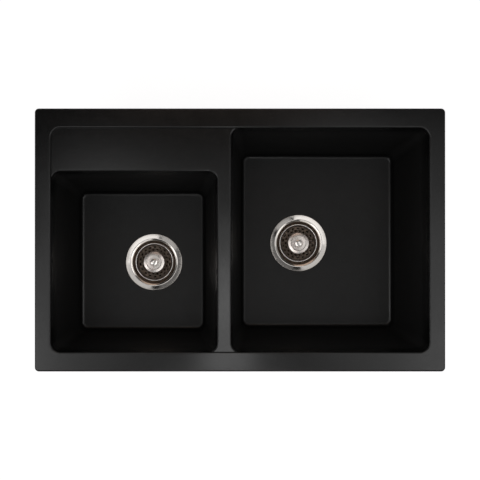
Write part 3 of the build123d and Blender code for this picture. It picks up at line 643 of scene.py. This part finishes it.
def punched_band(start, end):
    """The band of holes on the straight run from start to end. A hole's cell spans its share of the turn and of
    the run. Points along the cell's sides, at angles a from its middle, are joined on both faces to the hole's
    edge, at (t + h cos a/r, run + h sin a), and the two edges are joined by the hole's wall."""
    length = np.linalg.norm(end - start)
    run = (end - start) / length
    normal = np.array((run[1], -run[0]))
    side = np.arange(-HALF_SIDE_POINTS, HALF_SIDE_POINTS) / HALF_SIDE_POINTS
    ones = np.ones(side.size)
    sides = ((ones, side), (-side, ones), (-ones, -side), (side, -ones))
    square = np.concatenate([np.stack(pair, axis=-1) for pair in sides])
    angle = np.arctan2(square[:, 1], square[:, 0])
    row, hole = np.mgrid[0:HOLE_ROWS, 0:HOLES_IN_ROW]
    cell_turn, cell_run = 2 * math.pi / HOLES_IN_ROW, length / HOLE_ROWS
    turn = ((hole + (1 - row) / 2) * cell_turn)[..., None]
    down = ((row + 0.5) * cell_run)[..., None]
    middle_r = start[0] + run[0] * down
    edge = turn + square[:, 0] * cell_turn / 2, down + square[:, 1] * cell_run / 2
    rim = turn + HOLE_R * np.cos(angle) / middle_r, down + HOLE_R * np.sin(angle)
    rings = []
    for (at, along), sign in ((edge, 1), (rim, 1), (rim, -1), (edge, -1)):
        rings.append(layer(start + run * along[..., None], normal, sign * BASKET_HALF_SHEET, at))
    first = len(rings) * angle.size * np.arange(hole.size)[:, None, None]
    return np.stack(rings, axis=2), (first + strip_faces(len(rings), angle.size)).reshape(-1, 4)


def basket_surface(axis, straight_steps=4, bead_steps=24):
    """The basket as one shell: the wall down to the waist's bend, the punched slope, the foot's bend and the
    floor, with a rolled bead round the rim."""
    waist = bend_points(BASKET_WAIST, BASKET_RIM, BASKET_FOOT, BASKET_BEND)
    foot = bend_points(BASKET_FOOT, BASKET_WAIST, BASKET_HUB, BASKET_BEND)
    wall = np.concatenate((np.linspace(BASKET_RIM, waist[0], straight_steps), waist[1:]))
    floor = np.concatenate((foot, np.linspace(foot[-1], BASKET_HUB, straight_steps)[1:]))
    bead = np.array(BASKET_RIM) + BASKET_BEAD * squared_off(full_turn(bead_steps), BEAD_SQUARENESS)
    parts = plain_band(wall) + plain_band(floor) + [punched_band(waist[-1], foot[0])]
    parts.append(turned(bead, (0, 0, 0), BASKET_COLUMNS))
    points = [part[0].reshape(-1, 3) for part in parts]
    starts = np.cumsum([0] + [len(part) for part in points])
    faces = [part[1] + start for part, start in zip(parts, starts)]
    return np.concatenate(points) + np.asarray(axis), np.concatenate(faces)


basket_steel = spun_steel("basket_steel", BASKET_STEEL, 0.16, 0.1, BASKET_PAINTED_SHADE, BASKET_DULLING)
for side, axis in DRAINS.items():
    basket = piece_from(f"perforated_basket_{side}", *basket_surface(axis), basket_steel, axis)
    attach(basket, f"{side}_basket")
    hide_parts(f"basket_{side}")

# ---------------------------------------------------------------- stopper, washer, post and spring
# The rubber stopper's lip closes the outlet when the basket is down. A washer backs it on the turned post, and
# the slotted spring on the post's end holds the basket up in the cross bar.
STOPPER = [(0.003, -0.0345), (0.013, -0.0345), (0.0245, -0.0395), (0.0245, -0.0417), (0.0205, -0.0417)]
STOPPER += [(0.0183, -0.0395), (0.003, -0.0395)]
STOPPER_ROUNDING = [0, 0.001, 0.0009, 0.0009, 0.0008, 0.001, 0]
MILL_GREY, SPRING_GREY = (0.55, 0.55, 0.54), (0.5, 0.5, 0.5)


def plain_steel(name, colour, roughness):
    """Drawn or rolled steel as it comes from the mill: a faint cloudy sheen and fine pitting."""
    made, tree, shader = finish_of(name, colour, roughness, metallic=1.0)
    place = shader_node(tree, "TexCoord").outputs["Object"]
    cloud = noise(tree, place, scale=300.0, detail=4.0)
    tree.links.new(scaled(tree, cloud, roughness - 0.08, roughness + 0.1), shader.inputs["Roughness"])
    dull = tuple(value * 0.85 for value in colour)
    tree.links.new(tone_ramp(tree, cloud, [(0.35, dull), (0.65, colour)]), shader.inputs["Base Color"])
    pits = noise(tree, place, scale=3000.0, detail=2.0)
    raise_skin(tree, shader, pits, strength=0.15, distance=0.00005)
    return made


mill_steel = plain_steel("mill_steel", MILL_GREY, 0.3)
spring_steel = plain_steel("spring_steel", SPRING_GREY, 0.25)
stopper_outline = rounded(STOPPER, STOPPER_ROUNDING)
for side, axis in DRAINS.items():
    stopper = piece_from(f"rubber_stopper_{side}", *turned(stopper_outline, axis), black_rubber, axis)
    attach(stopper, f"{side}_basket")
    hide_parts(f"basket_stopper_{side}")
    nodes[f"stopper_washer_{side}"].data.materials[0] = mill_steel
    nodes[f"basket_post_{side}"].data.materials[0] = mill_steel
    nodes[f"detent_clip_{side}"].data.materials[0] = spring_steel

# ---------------------------------------------------------------- knob and its screw
# The knob is pressed from 1.2 mm stainless sheet and satin finished in the round: a straight skirt, a rim that
# slopes up to a fine step, and a nearly flat top, sunk in the middle for its screw. The screw, polished and
# dome-headed, holds the knob on the post.
KNOB_SHEET = 0.0012
KNOB_LINE = [(0.0222, -0.005), (0.0222, 0.0022), (0.0160, 0.0034), (0.0154, 0.0026), (0.0090, 0.0031)]
KNOB_LINE += [(0.0084, 0.0024), (0.0062, 0.0024), (0.0050, 0.0), (0.0015, 0.0)]
KNOB_BENDS = [0.0012, 0.0009, 0.0007, 0.0009, 0.0007, 0.0007, 0.0007]
SCREW_DOME_R, SCREW_DOME_FOOT, SCREW_DOME_RISE = 0.0072, 0.0033, 0.0010
SCREW_SHANK_R, SCREW_SHANK_FOOT = 0.0015, -0.0074
KNOB_STEEL, DOME_STEEL = (1.0, 0.885, 0.835), (1.0, 0.92, 0.88)


def knob_screw_outline(steps=16):
    """The shank and the dome, whose height is the foot's plus the rise times 1 - (r/R)^2."""
    out = np.linspace(1, 0, steps)
    dome = np.stack((SCREW_DOME_R * out, SCREW_DOME_FOOT + SCREW_DOME_RISE * (1 - out**2)), axis=-1)
    shank = [(0, SCREW_SHANK_FOOT), (SCREW_SHANK_R, SCREW_SHANK_FOOT), (SCREW_SHANK_R, SCREW_DOME_FOOT)]
    return np.concatenate((shank, dome))


knob_steel = spun_steel("knob_steel", KNOB_STEEL, 0.28, 0.12)
dome_steel = spun_steel("dome_steel", DOME_STEEL, 0.18, 0.08)
knob_outline = pressed_sheet(KNOB_LINE, KNOB_BENDS, KNOB_SHEET)
for side, axis in DRAINS.items():
    knob = piece_from(f"pressed_knob_{side}", *turned(knob_outline, axis, 144), knob_steel, axis)
    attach(knob, f"{side}_basket")
    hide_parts(f"basket_knob_{side}")
    dome = piece_from(f"dome_screw_{side}", *turned(knob_screw_outline(), axis, 64), dome_steel, axis)
    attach(dome, f"{side}_basket")
    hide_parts(f"knob_screw_{side}")

# ---------------------------------------------------------------- studio
# A white paper floor in a dim room that is paler round the horizon. Soft panels hang on both sides and in front
# of a gap for the camera, grey cards close the gap, a warm card hangs at the back, and low strips lie over the
# divider. Each lamp is a rectangle: its middle, size, turn in degrees and radiance.
BOX_HEIGHT, STRIP_HEIGHT = 1.12, 0.35
LAMPS = {
    "left_back_inner": ((-0.4091, 0.0582, BOX_HEIGHT), (0.280, 0.339), -8.5, 1.03),
    "left_front_inner": ((-0.4692, -0.3443, BOX_HEIGHT), (0.280, 0.475), -8.5, 0.55),
    "left_back_outer": ((-0.7781, 0.1261, BOX_HEIGHT), (0.470, 0.303), -8.5, 0.1),
    "left_middle_outer": ((-0.8184, -0.1439, BOX_HEIGHT), (0.470, 0.243), -8.5, 0.85),
    "left_front_outer": ((-0.8573, -0.4039, BOX_HEIGHT), (0.470, 0.283), -8.5, 1.9),
    "right_back_inner": ((0.3146, 0.1346, BOX_HEIGHT), (0.280, 0.354), 8.05, 1.03),
    "right_front_inner": ((0.3775, -0.3104, BOX_HEIGHT), (0.280, 0.545), 8.05, 0.58),
    "right_back_outer": ((0.6809, 0.2222, BOX_HEIGHT), (0.470, 0.303), 8.05, 0.3),
    "right_middle_outer": ((0.7247, -0.0878, BOX_HEIGHT), (0.470, 0.323), 8.05, 0.8),
    "right_front_outer": ((0.7686, -0.3978, BOX_HEIGHT), (0.470, 0.303), 8.05, 1.35),
    "front_box": ((-0.0450, -0.6200, BOX_HEIGHT), (0.430, 0.480), 0.0, 0.85),
    "gap_card": ((-0.0450, -0.1450, BOX_HEIGHT), (0.390, 0.390), 0.0, 0.12),
    "grey_card_left": ((-0.1425, 0.1400, BOX_HEIGHT), (0.165, 0.180), 0.0, 0.42),
    "grey_card_right": ((0.0375, 0.1800, BOX_HEIGHT), (0.195, 0.110), 0.0, 0.42),
    "back_card": ((-0.0400, 0.7150, BOX_HEIGHT), (0.720, 0.470), 0.0, 0.58),
    "strip_front": ((-0.0300, -0.2500, STRIP_HEIGHT), (0.110, 0.120), 0.0, 1.25),
    "strip_wide": ((-0.0280, -0.1500, STRIP_HEIGHT), (0.108, 0.080), 0.0, 1.7),
    "strip_middle": ((-0.0340, -0.0750, STRIP_HEIGHT), (0.074, 0.070), 0.0, 1.5),
    "strip_back": ((-0.0315, 0.0050, STRIP_HEIGHT), (0.069, 0.090), 0.0, 0.7),
}
WARM_CARD = (1.0, 0.78, 0.64)
ROOM, HORIZON = 0.012, 0.35
HORIZON_SINES = (0.2, 0.55)
FLOOR_Z, FLOOR_REACH = -0.2695, 6.0
PAPER, PAPER_GLOW = (0.8, 0.8, 0.8), 0.9

for name, (middle, (across, along), turn, radiance) in LAMPS.items():
    data = bpy.data.lights.new(name, "AREA")
    data.shape = "RECTANGLE"
    data.size, data.size_y = across, along
    data.energy = radiance * math.pi * across * along
    lamp = bpy.data.objects.new(name, data)
    lamp.location = middle
    lamp.rotation_euler.z = math.radians(turn)
    lamp.visible_camera = False
    bpy.context.scene.collection.objects.link(lamp)
bpy.data.lights["back_card"].color = WARM_CARD

world = bpy.data.worlds.new("studio")
world.use_nodes = True
bpy.context.scene.world = world
tree = world.node_tree
background = tree.nodes["Background"]
background.inputs["Color"].default_value = (1, 1, 1, 1)
upward = part_of(tree, shader_node(tree, "TexCoord").outputs["Generated"], "Z")
around = scaled(tree, upward, HORIZON, ROOM, *HORIZON_SINES)
seen = shader_node(tree, "LightPath").outputs["Is Camera Ray"]
tree.links.new(scaled(tree, seen, around, 1.0), background.inputs["Strength"])

sheet_mesh = bpy.data.meshes.new("paper_floor")
corners = [(x * FLOOR_REACH, y * FLOOR_REACH, FLOOR_Z) for x, y in ((-1, -1), (1, -1), (1, 1), (-1, 1))]
sheet_mesh.from_pydata(corners, [], [(0, 1, 2, 3)])
paper_floor = bpy.data.objects.new("paper_floor", sheet_mesh)
bpy.context.scene.collection.objects.link(paper_floor)
paper, tree, shader = finish_of("white_paper", PAPER, roughness=0.9)
shader.inputs["Emission Color"].default_value = (1, 1, 1, 1)
path = shader_node(tree, "LightPath").outputs
looked_at = combined(tree, "MAXIMUM", path["Is Camera Ray"], path["Is Glossy Ray"])
tree.links.new(combined(tree, "MULTIPLY", looked_at, PAPER_GLOW), shader.inputs["Emission Strength"])
sheet_mesh.materials.append(paper)

bpy.context.scene.view_settings.view_transform = "Standard"
